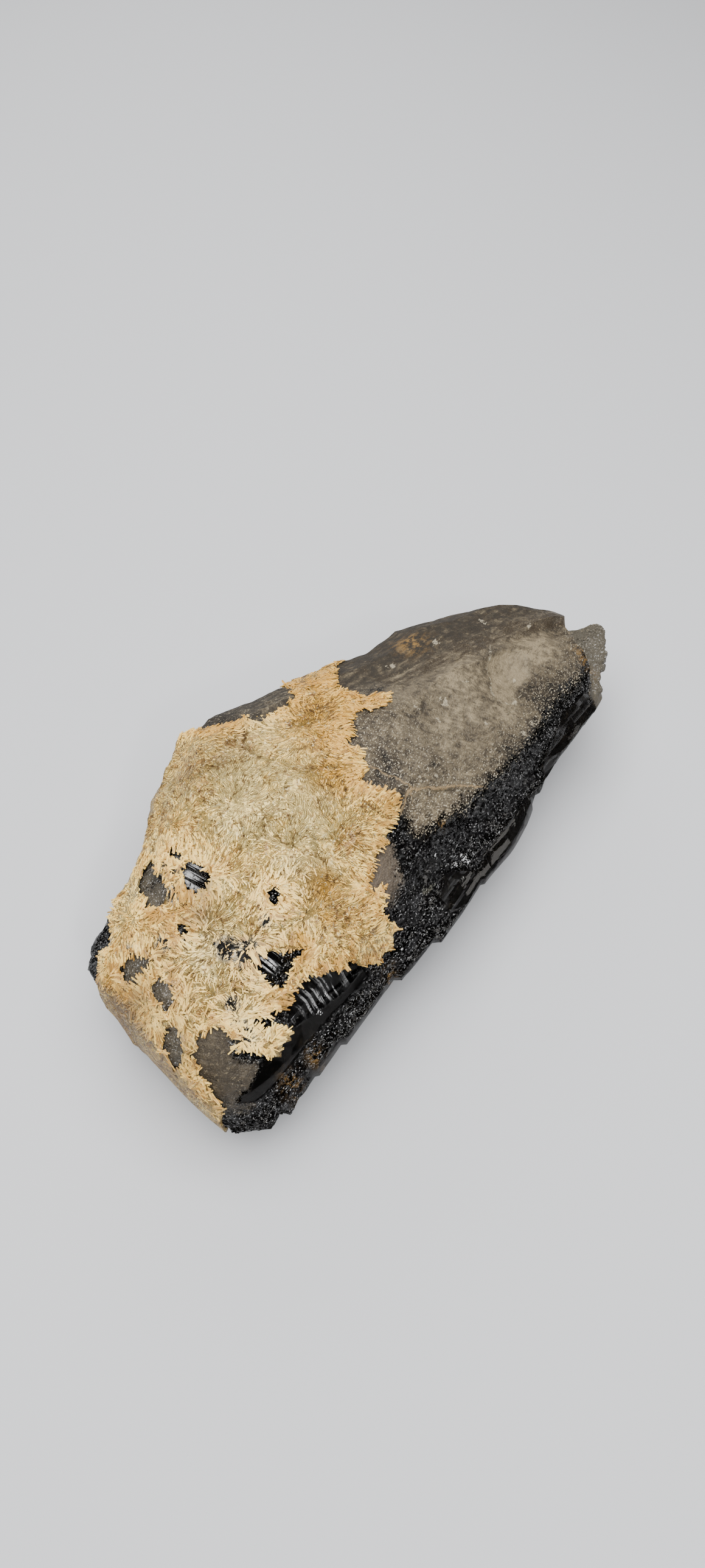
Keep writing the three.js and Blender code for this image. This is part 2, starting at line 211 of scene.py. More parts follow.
for light_name, (spot, (width, depth), watts) in LIGHTS.items():
    light = bpy.data.lights.new(light_name, "AREA")
    light.shape = "RECTANGLE"
    light.size = width
    light.size_y = depth
    light.energy = watts
    lamp = bpy.data.objects.new(light_name, light)
    lamp.location = spot
    lamp.rotation_euler = (LIT_SPOT - Vector(spot)).to_track_quat("-Z", "Y").to_euler()
    bpy.context.scene.collection.objects.link(lamp)

# Crystal: one broken prism of smoky quartz, nearly black inside and glassy on its own faces.
# Its upper side is a break with a milky, frosted skin, and its near side is chipped and striated.
PLAN_ZERO = np.array([-96.16, -10.2])  # where the base and the prism's axis line are in the frame, in mm
CREASED = 0.38  # edges bent by more than this, in radians, stay sharp when the mesh gets finer
SHADED_SHARP = 0.5  # and those bent by more than this are shaded as sharp
MERGE_GAP = 1e-5
FLAT_ENOUGH = 0.2  # triangles are joined into quads where they are this flat, in radians,
SQUARE_ENOUGH = 0.9  # and the quad's corners are this near to square
BOX_MARGIN = 1e-5  # by which the pieces stay inside the CAD model's box
FINER_LEVELS = 2

# Lines on it, seen from above, as [distance from the base, distance from the axis line] in mm
CREST = [  # beyond it the milky skin is darker and streaked
    [100, 22], [111, 18], [114, 12], [116, 8], [120, 6], [126, 5], [131, 2], [138, 0], [146, -3], [155, -7],
    [160, -9], [168, -12], [173, -15],
]
FAR_RIDGE = [  # and beyond this one it is darker still
    [118, 30], [132, 24], [139, 20], [143, 16], [146, 11], [149, 7], [156, 3], [164, 0],
]
CRACK = [[84, -13], [91, -11], [94, -13], [97, -16], [103, -21], [108, -26], [117, -30], [128, -33]]
RIM = [[90, 6], [88, 2], [89, -1], [90, -5], [91, -8], [92, -11], [91, -12]]  # a tan line by the crust
FLAKE_EDGE = [[145, -4], [142, -5.5], [139, -6], [137, -9], [133, -11], [131, -14], [134, -18], [137, -18]]
# Outlines on it, seen from above in the same way
FROST = [
    [82, -14], [78, -20], [84, -24], [95, -26], [114, -28], [127, -29], [140, -28], [150, -28], [160, -29],
    [167, -27], [180, -20], [193, -22], [193, 5], [172, 30], [135, 45], [78, 60], [78, 35], [86, 20],
    [80, 0],
]
DARK_FROST = [[78, -10], [86, -11], [94, -13], [103, -21], [119, -29], [127, -31], [95, -32], [70, -25]]
GREY_WINDOW = [[2, -3], [16, -3], [18, -9], [12, -13], [15, -19], [8, -21], [2, -18]]
BROWN_TONGUE = [[62, -16], [69, -13], [76, -14], [79, -19], [77, -23.5], [70, -24.5], [63, -24], [60, -21]]
STEP_FACES = [[73, -23], [77, -21.5], [84, -24.5], [84, -27], [79, -28.5], [74, -27.5]]
FLAKE = [
    [143, -5], [139, -6], [137, -9], [133, -11], [131, -14], [134, -18], [140, -16], [146, -17], [152, -12],
    [149, -7],
]
# Zones of its near side, seen from there, as [distance from the base, height] in mm
BEVEL = [
    [6, 30], [8, 34], [14, 38], [19, 41], [30, 41.5], [42, 40], [50, 39], [50, 35], [41, 34.5], [29, 34],
    [14, 31],
]
STRIATED = [[24, 42], [28, 46], [38, 52], [54, 52], [63, 48], [62, 40], [50, 39], [42, 38], [30, 40]]
SMOOTH_PLATES = [
    [
        [77, 31], [78, 36], [83, 40], [91, 33.5], [93, 30.5], [97, 32.5], [110, 33], [124, 30], [124, 25],
        [92, 26], [84, 27],
    ],
    [[129, 28], [130, 35], [136, 38], [146, 39.5], [158, 37], [165, 31], [165, 25], [160, 22]],
]
# Round blots on it, as [distance from the base, distance from the axis line, radius] in mm
STAINS = [[167.5, -25, 3.2], [134, 16, 4.2], [55, -30, 2], [18, -25, 3], [90, -22, 1.2], [27, -26, 2.5]]
SPECKS = [  # small pale flakes on the milky skin
    [119, -4, 1.6], [138, 10, 1.4], [129, -25, 1.0], [129, -5, 0.8], [113, -6, 0.9], [142, -14, 0.9],
    [122, -16, 0.9], [99, -14, 1.1], [134, -25, 1.0], [163, -7, 1.2], [156, 5, 1.6], [123, 15, 1.5],
    [112, 0, 0.8], [121, -29, 2.2],
]
DULL_GLASS = [[31, 25, 5], [35, 31, 4], [16, 19.5, 4.5], [7, 1, 5], [14, 9, 4.5]]  # in windows of the crust
STREAKY_GLASS = [[39, 18, 4.5], [34, -8, 3.5], [42, 27, 3], [16, -12, 3]]  # in its other windows
DARK_BLOT = [[96, 0, 9]]  # in the milky skin
PAINTED_GLINT_SPOTS = [  # painted glints: small bright spots on its near side, as [distance from the base, height, radius] in mm
    [91, 36, 1.6], [88, 38, 1.2], [83, 45, 0.9], [43, 33, 0.9], [34, 38, 1.0], [38, 41, 1.0], [32, 45, 0.8],
    [61, 34, 0.7],
]

# Heights of its relief, in mm
FROST_SWELL = 0.22
FROST_GRAIN = 0.12
LARGE_CHIPS = 1.3
SMALL_CHIPS = 0.5
PLATE_CHIPS = 0.4
LOW_CHIPS = 0.3
FLANK_CHIPS = 0.35
CRACK_DROP = 0.6
FLAKE_DROP = 0.35
BARE_STRIP_RISE = 1.2
SET_BACK = 0.22  # for each mm of height above SET_BACK_START, for SET_BACK_REACH mm
SET_BACK_START = 34
SET_BACK_REACH = 6


def merged_copy(node_name, piece_name):
    """A new piece with a CAD node's shape: joined into quads, with its sharp edges creased."""
    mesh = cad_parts[node_name].data.copy()
    mesh.name = piece_name
    mesh.materials.clear()
    shape = bmesh.new()
    shape.from_mesh(mesh)
    bmesh.ops.remove_doubles(shape, verts=shape.verts, dist=MERGE_GAP)
    flat_and_square = {"angle_face_threshold": FLAT_ENOUGH, "angle_shape_threshold": SQUARE_ENOUGH}
    bmesh.ops.join_triangles(shape, faces=shape.faces, **flat_and_square)
    creases = shape.edges.layers.float.new("crease_edge")
    for edge in shape.edges:
        edge[creases] = 1.0 if edge.calc_face_angle(0) > CREASED else 0.0
    shape.to_mesh(mesh)
    shape.free()
    piece = bpy.data.objects.new(piece_name, mesh)
    bpy.context.scene.collection.objects.link(piece)
    return piece


def bake_modifiers(piece):
    """Turns what the piece's modifiers make into its own mesh."""
    graph = bpy.context.evaluated_depsgraph_get()
    made = bpy.data.meshes.new_from_object(piece.evaluated_get(graph))
    piece.modifiers.clear()
    piece.data = made


def refine(piece, levels):
    smoother = piece.modifiers.new("Finer", "SUBSURF")
    smoother.levels = smoother.render_levels = levels
    bake_modifiers(piece)


def refine_where(piece, chosen):
    """Cuts each face whose middle is chosen into four."""
    shape = bmesh.new()
    shape.from_mesh(piece.data)
    faces = [face for face in shape.faces if chosen(face.calc_center_median() * 1000)]
    edges = {edge for face in faces for edge in face.edges}
    bmesh.ops.subdivide_edges(shape, edges=list(edges), cuts=1, use_grid_fill=True)
    shape.to_mesh(piece.data)
    shape.free()


def read(mesh, what):
    values = np.empty(len(mesh.vertices) * 3)
    mesh.vertices.foreach_get(what, values)
    return values.reshape(-1, 3)


def move(mesh, points):
    """Puts the mesh's points there, but never outside the CAD model's box."""
    lowest = np.array(cad_low) + (BOX_MARGIN, BOX_MARGIN, 0)
    kept = np.clip(points, lowest, np.array(cad_high) - BOX_MARGIN)
    mesh.vertices.foreach_set("co", kept.ravel())
    mesh.update()


def store(mesh, **masks):
    for name, values in masks.items():
        attribute = mesh.attributes.new(name, "FLOAT", "POINT")
        attribute.data.foreach_set("value", values.astype(np.float32))


def ramp(values, start, end):
    """0 up to start, 1 past end, and smooth between them. Either may be the larger one."""
    share = np.clip((values - start) / (end - start), 0, 1)
    return share * share * (3 - 2 * share)


def plan_of(points):
    """Places seen from above, in mm from the base and from the axis line."""
    return points[:, :2] * 1000 - PLAN_ZERO


def from_line(spots, line):
    """Signed distance of each spot from a line, in mm: positive on its left."""
    ends = np.array(line, float)
    best = np.full(len(spots), np.inf)
    side = np.ones(len(spots))
    for start, end in zip(ends, ends[1:]):
        run = end - start
        offset = spots - start
        share = np.clip(offset @ run / (run @ run), 0, 1)
        gap = np.linalg.norm(offset - share[:, None] * run, axis=1)
        side = np.where(gap < best, np.sign(run[0] * offset[:, 1] - run[1] * offset[:, 0]), side)
        best = np.minimum(gap, best)
    return best * side


def inside(spots, outline):
    """How far inside an outline each spot is, in mm, and negative outside it."""
    within = np.zeros(len(spots), bool)
    for (ax, ay), (bx, by) in zip(outline, outline[1:] + outline[:1]):
        if ay == by:
            continue
        crosses = (ay > spots[:, 1]) != (by > spots[:, 1])
        within ^= crosses & (spots[:, 0] < (bx - ax) * (spots[:, 1] - ay) / (by - ay) + ax)
    gap = np.abs(from_line(spots, outline + outline[:1]))
    return np.where(within, gap, -gap)


def blot(spots, x, y, reach_x, reach_y):
    """1 in the middle of one oval blot, fading to 0 round it."""
    return np.exp(-(((spots - (x, y)) / (reach_x, reach_y)) ** 2).sum(axis=1))


def spotted(spots, blots):
    """1 in the middle of each round blot, given as [x, y, radius] in mm, fading to 0 round it."""
    return np.max([blot(spots, x, y, radius, radius) for x, y, radius in blots], axis=0)


def lumps(points, size, seed):
    """Smooth noise of about -1 to 1 at each point, in lumps of a size in mm."""
    return np.array([noise.noise(place) for place in map(Vector, points * 1000 / size + seed)])


def chips(points, size, seed, lean=0):
    """The height of a chipped face at each point: flat cells, each with its own tilt, turned up by lean."""
    heights = []
    for place in map(Vector, points * 1000 / size + seed):
        middle = noise.voronoi(place)[1][0]
        tilt = noise.cell_vector(middle * 5.7) - Vector((0.5, 0.5, 0.5 + lean))
        heights.append((place - middle).dot(tilt) + 0.3 * tilt.x)
    return np.array(heights)


def on_chipped_side(place):
    """Whether a place, in mm, is on the chipped band of the near side, which has the finest relief."""
    return place.y < -18 and 16 < place.z < 52


crystal = merged_copy("smoky_quartz_crystal", "quartz_prism")
refine(crystal, FINER_LEVELS)
refine_where(crystal, on_chipped_side)
points = read(crystal.data, "co")
normals = read(crystal.data, "normal")
upward = normals[:, 2]
plan = plan_of(points)
along, across = plan.T
height = points[:, 2] * 1000
elevation = np.column_stack([along, height])

# Where each finish is, as 1 there and 0 elsewhere. The places are in mm along, across and up.
upper = ramp(upward, 0.15, 0.45) * ramp(height, 22, 30)
near_side = ramp(across, -12, -16) * ramp(height, 20, 24)
frost_depth = inside(plan, FROST)
frosted = upper * ramp(frost_depth, -2, 3)
window = upper * ramp(inside(plan, GREY_WINDOW), -1, 1.5)
tongue = ramp(inside(plan, BROWN_TONGUE), -1, 2) * ramp(height, 44, 48)
tongue *= 0.25 + 0.75 * ramp(across - 0.5 * (along - 66), -27, -19)
steps = ramp(inside(plan, STEP_FACES), -0.3, 0.7) * ramp(height, 38, 40)
dull = spotted(plan, DULL_GLASS)
streaky = spotted(plan, STREAKY_GLASS)
beyond = upper * ramp(from_line(plan, CREST), -0.5, 0.8) * ramp(along, 100, 108)
far_slope = 0.6 * ramp(from_line(plan, FAR_RIDGE), -0.3, 0.8)
far_slope *= ramp(along, 166, 152) * ramp(along, 112, 122)
pale_middle = np.maximum(blot(plan, 124, -5, 17, 12), blot(plan, 156, -15, 10, 8))
pale_middle -= 0.7 * spotted(plan, DARK_BLOT)
shelf = ramp(along, 158, 162) * ramp(height, 22, 25) * ramp(height, 37, 33)
far_flank = ramp(across + 0.36 * (along - 79), 24, 31) * ramp(height, 8, 20)
bevel = near_side * ramp(inside(elevation, BEVEL), -0.5, 0.5)
near_lines = near_side * ramp(inside(elevation, STRIATED), -1, 1)
striated = np.maximum(near_lines, ramp(streaky, 0.2, 0.6))
plates = [ramp(inside(elevation, outline), -0.3, 0.6) for outline in SMOOTH_PLATES]
smooth_plate = near_side * np.max(plates, axis=0)
chipped = np.maximum(near_side, upper) * (1 - frosted) * (1 - window) * (1 - tongue) * (1 - 0.6 * steps)
chipped *= (1 - bevel) * (1 - striated) * (1 - smooth_plate) * ramp(height, 25, 28)
base_chips = ramp(along, 24, 17) * (1 - window) * (1 - bevel)
chipped = np.maximum(chipped, base_chips)
leaning = np.maximum(ramp(height, 27, 31) * (1 - frosted), base_chips)
leaning *= (1 - 0.4 * near_lines) * (1 - 0.85 * bevel) * (1 - 0.75 * smooth_plate)
leaning *= ramp(upward, 0.75, 0.45)
stepping = ramp(upward, 0.5, 0.8) * ramp(height, 25, 30)
# where the painted highlights on the growth lines are brightest
silver_spot = np.maximum(0.6 * blot(elevation, 36, 41, 8, 5), 0.75 * ramp(streaky, 0.2, 0.8))
glint = spotted(elevation, PAINTED_GLINT_SPOTS) * near_side
flake = ramp(inside(plan, FLAKE), -0.4, 0.8) * upper
bare_strip = ramp(along, 77, 83) * ramp(along, 107, 100) * ramp(across, 25, 31) * ramp(height, 25, 40)
crack = from_line(plan, CRACK)
below_crack = upper * ramp(-crack, 0, 0.8) * ramp(-crack, 9, 1) * ramp(along, 80, 84)

relief = frosted * (FROST_SWELL * lumps(points, 5, seed=3) + FROST_GRAIN * lumps(points, 2.2, seed=7))
relief += chipped * LARGE_CHIPS * chips(points, 4.2, seed=11, lean=0.35)
relief += chipped * SMALL_CHIPS * chips(points, 1.7, seed=5, lean=0.4)
relief += smooth_plate * PLATE_CHIPS * chips(points, 6.5, seed=2, lean=0.4)
relief += near_side * ramp(height, 27, 25) * LOW_CHIPS * chips(points, 5, seed=6)
relief += far_flank * FLANK_CHIPS * chips(points * (0.5, 1, 1), 3, seed=8)
relief -= near_side * ramp(along, 62, 54) * SET_BACK * np.clip(height - SET_BACK_START, 0, SET_BACK_REACH)
relief -= below_crack * CRACK_DROP
relief -= flake * FLAKE_DROP
relief += bare_strip * BARE_STRIP_RISE
relief[height < 1e-3] = 0  # the face that it lies on stays level
move(crystal.data, points + normals * (relief / 1000)[:, None])

# How much milky skin covers the glass, and how dark its grain is
veil = np.clip(frosted * ramp(frost_depth, -3, 8) + 0.8 * window, 0, 1)
veil = np.maximum.reduce([veil, 0.85 * shelf, 0.75 * far_flank, 0.75 * tongue, 0.3 * steps, 0.8 * dull])
veil *= 1 - 0.9 * bevel
dusk = upper * ramp(inside(plan, DARK_FROST), -1, 2) * (0.15 + 0.95 * ramp(-crack, 1, 17))
dusk = np.maximum(dusk, 0.45 * ramp(frost_depth, 6, 0) * frosted)
sparkling = frosted * np.maximum(ramp(along, 118, 92), ramp(frost_depth, 14, 3)) * (1 - beyond)
store(
    crystal.data,
    veil=veil,
    dusk=dusk,
    window=window,
    tongue=tongue,
    steps=steps,
    dull=dull,
    beyond=beyond,
    far_slope=far_slope,
    middle=pale_middle,
    shelf=shelf,
    far=far_flank,
    striated=striated,
    plate=smooth_plate,
    chipped=chipped,
    leaning=leaning,
    stepping=stepping,
    silver_spot=silver_spot,
    glint=glint,
    flake=flake,
    flake_edge=from_line(plan, FLAKE_EDGE),
    crack=crack,
    rim=from_line(plan, RIM),
    stain=spotted(plan, STAINS) * ramp(height, 15, 20),
    speck=spotted(plan, SPECKS) * upper,
    sparkling=sparkling,
)
crystal.data.shade_smooth()
crystal.data.set_sharp_from_angle(angle=SHADED_SHARP)

NIGHT = (0.008, 0.007, 0.006, 1)
MILKY_DARK = (0.050, 0.040, 0.028, 1)
MILKY = (0.120, 0.096, 0.063, 1)
MILKY_PALE = (0.25, 0.20, 0.125, 1)
# pale flakes, and painted sparkle on the frost
PALE_FLAKE_AND_SPARKLE = (0.42, 0.37, 0.27, 1)
PLAIN_GREY = (0.081, 0.071, 0.053, 1)
FLANK_GREY = (0.030, 0.025, 0.019, 1)
STEP_GREY = (0.12, 0.12, 0.095, 1)
STREAK_BROWN = (0.036, 0.026, 0.016, 1)
TONGUE_BROWN = (0.085, 0.066, 0.048, 1)
OLD_TAN = (0.30, 0.21, 0.11, 1)
ORANGE = (0.27, 0.15, 0.040, 1)
# a pale colour painted on as glints and silvery highlights
HIGHLIGHT_PAINT = (0.60, 0.60, 0.60, 1)
GLASS = (0.9, 0.88, 0.85, 1)
GLASS_SHINE = (0.85, 0.82, 0.78, 1)
GLASS_IOR = 1.544
SMOKE = (0.62, 0.50, 0.36, 1)  # what a little smoky quartz lets through
SMOKE_DENSITY = 900
DEPTHS = (0.0015, 0.0013, 0.0012, 1)  # where the light that goes in doesn't come back
LOST_LIGHT = 0.62  # share of the glass that looks like its depths
FROST_BUMP = 0.0005
MM = 0.001
LEAN_SLOPE = 0.5  # how far the near side's shading tilts up, and the level ledges' towards the camera
LEDGE_SLOPE = 0.42


def facets(place, size):
    """Height of a chipped surface in mm: flat cells of a size, each tilted its own way."""
    spread = place.stretch(size)
    cells = spread.node("ShaderNodeTexVoronoi", {}, {"Vector": spread, "Scale": 1}, "Position")
    tilt = cells.also("Color").offset("SUBTRACT", (0.5, 0.5, 0.5))
    return spread.offset("SUBTRACT", cells).dot(tilt) * size


def drawn_out(place, heading, length, width):
    """Noise in long streaks that run along a level heading. The sizes are in mm."""
    ahead = place.dot((heading[0], heading[1], 0)) * (1000 / length)
    aside = place.dot((-heading[1], heading[0], 0)) * (1000 / width)
    level = place.dot((0, 0, 1000 / width))
    return place.node("ShaderNodeCombineXYZ", {}, {0: ahead, 1: aside, 2: level}).grain(4, 0.62)


def thin_line(distance, waver, core, fade):
    """1 less than core from a wavering line and 0 farther than fade from it, in mm."""
    return 1 - (distance + waver).maths("ABSOLUTE").rise(core, fade)


quartz, wire = new_material("smoky quartz")
place = wire.node("ShaderNodeTexCoord", output="Object")
veil = mask(wire, "veil")
dusk = mask(wire, "dusk")
beyond = mask(wire, "beyond")
chipped = mask(wire, "chipped")
striated = mask(wire, "striated")
plate = mask(wire, "plate")
glint = mask(wire, "glint")
clouds = place.stretch(17, 12, 12).grain(3, 0.6)
mottle = place.stretch(2.6, 2.0, 2.0).grain(4, 0.72)
flecks = place.stretch(1.3, 0.9, 0.9).grain(3, 0.6, distortion=0.5)
grit = place.stretch(0.55, 0.4, 0.4).grain(1, 0.5)
cross_streaks = drawn_out(place, (0.42, -0.91), length=9, width=1.1)
long_streaks = drawn_out(place, (0.97, -0.24), length=13, width=1.5)

milkiness = veil + (clouds - 0.5) * 2.6 + (mottle - 0.5) * 2.2 + (cross_streaks - 0.5) * 1.8
milkiness = milkiness + (mask(wire, "middle") - 0.6) * 0.5
far_bands = (mottle + (long_streaks - 0.5) * 1.6 + (clouds - 0.5) * 1.2).rise(0.75, 0.4)
dark_grains = dusk * (grit + (mottle - 0.5) * 0.6).rise(0.62, 0.44)
# pale grains on the frost: partly pale grit, partly painted sparkle where the frost would glint
pale_grit_and_painted_sparkle = grit.rise(0.58, 0.70) * (mask(wire, "sparkling") * 0.8 + 0.08)
flake_line = thin_line(mask(wire, "flake_edge"), (mottle - 0.5) * 1.6, 0.1, 0.6)
crack_line = thin_line(mask(wire, "crack"), (mottle - 0.5) * 2.2, 0.05, 0.4)
rim_line = thin_line(mask(wire, "rim"), (mottle - 0.5) * 2.2, 0.05, 0.4)
milk = wire.colour(NIGHT).under(
    (milkiness.rise(-0.25, 0.5), 1, MILKY_DARK),
    (milkiness.rise(0.35, 1.05), 1, MILKY),
    ((milkiness - 1.0).rise(-0.05, 0.6), 0.9, MILKY_PALE),
    (beyond, 0.4, MILKY_DARK),
    (beyond * long_streaks.rise(0.44, 0.60), 0.9, STREAK_BROWN),
    (beyond * long_streaks.rise(0.42, 0.30), 0.6, MILKY_PALE),
    (mask(wire, "far_slope") * far_bands, 1, MILKY_DARK),
    (mask(wire, "window"), 0.6, MILKY_DARK),
    (mask(wire, "dull"), 0.8, PLAIN_GREY),
    (mask(wire, "tongue"), 1, TONGUE_BROWN),
    (mask(wire, "steps") * flecks.rise(0.3, 0.5), 1, STEP_GREY),
    (mask(wire, "shelf"), 1, PLAIN_GREY),
    (flecks.rise(0.44, 0.30), 0.75, MILKY_DARK),
    (flecks.rise(0.58, 0.70), 0.5, MILKY_PALE),
    (dark_grains, 0.95, NIGHT),
    (pale_grit_and_painted_sparkle, 1, PALE_FLAKE_AND_SPARKLE),
    (mask(wire, "flake") * mottle.rise(0.2, 0.6), 0.8, MILKY_PALE),
    (flake_line * flecks.rise(0.45, 0.60), 0.7, PALE_FLAKE_AND_SPARKLE),
    (mask(wire, "far") * mottle.rise(0.75, 0.35), 1, FLANK_GREY),
    (mask(wire, "stain") * mottle.rise(0.42, 0.60), 0.8, ORANGE),
    ((mask(wire, "speck") + (flecks - 0.5) * 2.4).rise(0.55, 0.75), 0.6, PALE_FLAKE_AND_SPARKLE),
    ((crack_line + rim_line * 0.7) * flecks.rise(0.3, 0.5), 0.85, OLD_TAN),
)
frost_height = grit * 0.5 + flecks * 0.7 + mottle * 1.4 + cross_streaks * 0.8
bump_sockets = {"Strength": 0.8, "Distance": FROST_BUMP, "Height": frost_height}
frosting = wire.node("ShaderNodeBump", {}, bump_sockets)
frost = principled(
    wire,
    Base_Color=milk,
    Roughness=mask(wire, "far") * 0.35 + 0.42,
    Specular_IOR_Level=0.2,
    Normal=frosting,
)

# Heights of the glass, in mm: facets of four sizes, growth lines, and faces that are tilted as a whole
growth_lines = place.stretch(0.6, 26, 26).grain(2, 0.6)
glass_height = facets(place, 3.4) * (chipped * 0.9 + 0.03 + dusk * 0.6)
glass_height = glass_height + facets(place, 1.2) * (chipped * 0.8 + dusk * 1.1)
glass_height = glass_height + facets(place, 0.6) * (dusk * 0.6 + chipped * 0.8)
glass_height = glass_height + facets(place, 9.0) * (plate * 0.35 + 0.05)
glass_height = glass_height + growth_lines * striated
glass_height = glass_height - mask(wire, "leaning") * place.dot((0, 0, LEAN_SLOPE / MM))
glass_height = glass_height + mask(wire, "stepping") * place.dot((0, LEDGE_SLOPE / MM, 0))
dents = wire.node("ShaderNodeBump", {}, {"Strength": 1.0, "Distance": MM, "Height": glass_height})
glass = principled(
    wire,
    Base_Color=GLASS,
    Roughness=chipped * 0.04 + 0.05,
    IOR=GLASS_IOR,
    Specular_IOR_Level=0.3,
    Specular_Tint=GLASS_SHINE,
    Transmission_Weight=1.0,
    Normal=dents,
)
depths = principled(wire, Base_Color=DEPTHS, Roughness=1.0, Specular_IOR_Level=0.0)
silver = principled(wire, Base_Color=HIGHLIGHT_PAINT, Roughness=0.3)

# Painted highlights: a pale, matt shader put on as glints, in stripes on the growth lines, in small ragged
# spots, and in grains on the chipped faces
shine_stripes = (growth_lines + place.stretch(0.9, 14, 14).grain(1, 0.5)) * 0.5
sheaves = place.stretch(2.6, 11, 11).grain(2, 0.6).rise(0.40, 0.56)
painted_highlights = striated * shine_stripes.rise(0.50, 0.56) * sheaves
painted_highlights = painted_highlights * (mask(wire, "silver_spot") * 0.8 + 0.10) * (mottle + grit * 0.8).rise(0.65, 1.0)
ragged = (glint * 0.8 + (flecks - 0.5) * 3.0 + (grit - 0.5) * 1.6).rise(0.75, 0.95)
painted_highlights = painted_highlights + ragged * glint.rise(0.1, 0.3) * 0.9
painted_highlights = painted_highlights + grit.rise(0.62, 0.72) * (chipped * 0.4)
painted_highlights = painted_highlights + (flecks + (grit - 0.5) * 0.5).rise(0.56, 0.66) * (chipped * 0.08)

# How much frost lies on the glass: broken into grains at its edge, and a thin film on the smooth plates
# that paints a soft sheen on them
broken = (mottle - 0.5) * 1.2 + (grit - 0.5) * 1.4 + (cross_streaks - 0.5) * 1.0
speckled = (veil + broken - dusk * 0.95).rise(0.05, 0.45) * veil.rise(0.02, 0.2)
cover = speckled.maths("MAXIMUM", speckled, mask(wire, "stain") * mottle.rise(0.45, 0.6) * 0.8)
# a painted soft sheen on the smooth plates
cover = cover + plate * 0.10
surface = wire.node("ShaderNodeMixShader", {}, {0: LOST_LIGHT, 1: glass, 2: depths})
surface = wire.node("ShaderNodeMixShader", {}, {0: cover, 1: surface, 2: frost})
surface = wire.node("ShaderNodeMixShader", {}, {0: painted_highlights, 1: surface, 2: silver})
smoke = wire.node("ShaderNodeVolumeAbsorption", {}, {"Color": SMOKE, "Density": SMOKE_DENSITY})
finish_material(wire, surface, smoke)
crystal.data.materials.append(quartz)
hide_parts("smoky_quartz_crystal")
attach(crystal, "root")

# Crust: white to tan feldspar that grew over the crystal's upper side as one hard, felted mass.
# This piece is its body. It shows in the crevices between the blades.
# Where its laths fan out from, as [distance from the base, distance from the axis line, height] in mm
FANS = [
    [58, 2, 60], [66, -6, 60], [48, -9, 55], [34, -4, 54], [16, -13, 45], [4, -6, 32], [88, 20, 61],
    [97, 34, 54], [70, 42, 55], [48, 32, 57], [26, 26, 50], [12, 8, 46], [30, 8, 55], [60, 20, 62],
]
# Round blots on it, as [distance from the base, distance from the axis line, radius] in mm
GOLDEN = [
    [95, 21, 13], [87, 13, 9], [55, -10, 6], [80, 5, 8], [105, 30, 12], [78, 37, 7], [50, -14, 3],
    [42, -12, 2.5], [6, 20, 4],
]
WHITE = [
    [73, 16, 11], [66, 22, 8], [64, 2, 8], [72, 4, 7], [57, -6, 5], [63, 12, 9], [54, -1, 7], [81, 28, 7],
    [26, 6, 5], [63, 20, 8], [20, -16, 6],
]
THIN = [  # here it is a veil of grey fibres over black glass
    [30, 1, 2.6], [32, -4, 3.2], [27, 13, 2.6], [34.5, 20, 2.4], [38.5, 25, 2.8], [17, -12, 3.4],
    [17, 32, 3], [16, 21, 3.4], [40, -3, 1.4], [21, -7, 1.6], [23.5, 15, 2], [14, 9, 2.6], [7, 1, 2.4],
]
# patches painted darker and duller, as shade, with fewer blades, as [distance from the base, distance from
# the axis line, radius] in mm
SHADE_PATCHES = [[30, 2, 9], [24, -7, 7], [36, -6, 5], [17, 6, 7], [20, 14, 5]]
BROWN = [
    [68, 32, 4], [69, -9, 1.8], [74, 28, 3.5], [33, 11, 4], [38, 13, 3], [9, 15, 5], [62, 36, 6], [8, 0, 4],
]
CORE_LINE = (0.002, 0.027)  # y and z of the line inside the crystal that the skin faces away from
WALL = 0.3  # below this much facing, the skin is one of the walls at its edge
FAN_FOCUS = 5.0  # how strongly the nearest fan leads
EDGE_REACH = 4.5  # how far from its edge the crust still grows towards it, in mm
EDGE_PULL = 1.6
FOLD_HEIGHT = 0.95
CRUMB_HEIGHT = 0.4

crust = merged_copy("feldspar_crust", "feldspar_mass")
refine(crust, FINER_LEVELS)
points = read(crust.data, "co")
normals = read(crust.data, "normal")
plan = plan_of(points)
along, across = plan.T
middles = np.array(FANS, float)
middles[:, :2] += PLAN_ZERO
away = points[:, None] * 1000 - middles
reach = np.linalg.norm(away, axis=2)
weight = reach ** -FAN_FOCUS
fans = (weight[:, :, None] * away / reach[:, :, None]).sum(axis=1)
fans /= np.linalg.norm(fans, axis=1)[:, None]

# How near each place is to the crust's edge, and which way the edge is
core = np.column_stack([points[:, 0], np.tile(CORE_LINE, (len(points), 1))])
outward = points - core
outward /= np.linalg.norm(outward, axis=1)[:, None]
facing = (outward * normals).sum(axis=1)
outer = ramp(facing, 0.0, 0.25)
walls = KDTree(len(points))
for number in np.flatnonzero(np.abs(facing) < WALL):
    walls.insert(points[number], number)
walls.balance()
nearest = [walls.find(place) for place in points]
to_edge = np.array([place for place, number, gap in nearest]) - points
edge_gap = np.array([gap for place, number, gap in nearest]) * 1000
to_edge /= np.linalg.norm(to_edge, axis=1)[:, None] + 1e-9
to_edge = np.where(edge_gap[:, None] < 0.5, normals, to_edge)
at_edge = np.exp(-edge_gap / EDGE_REACH)

# The laths grow out of the fans and towards the edge, along the skin, with a twist of their own
growth = fans + EDGE_PULL * at_edge[:, None] * to_edge
growth -= (growth * normals).sum(axis=1)[:, None] * normals
growth /= np.linalg.norm(growth, axis=1)[:, None] + 1e-9
twist = (1.2 - at_edge) * (lumps(points, 15, seed=21) + 0.5 * lumps(points, 6, seed=5))
growth = growth * np.cos(twist)[:, None] + np.cross(normals, growth) * np.sin(twist)[:, None]

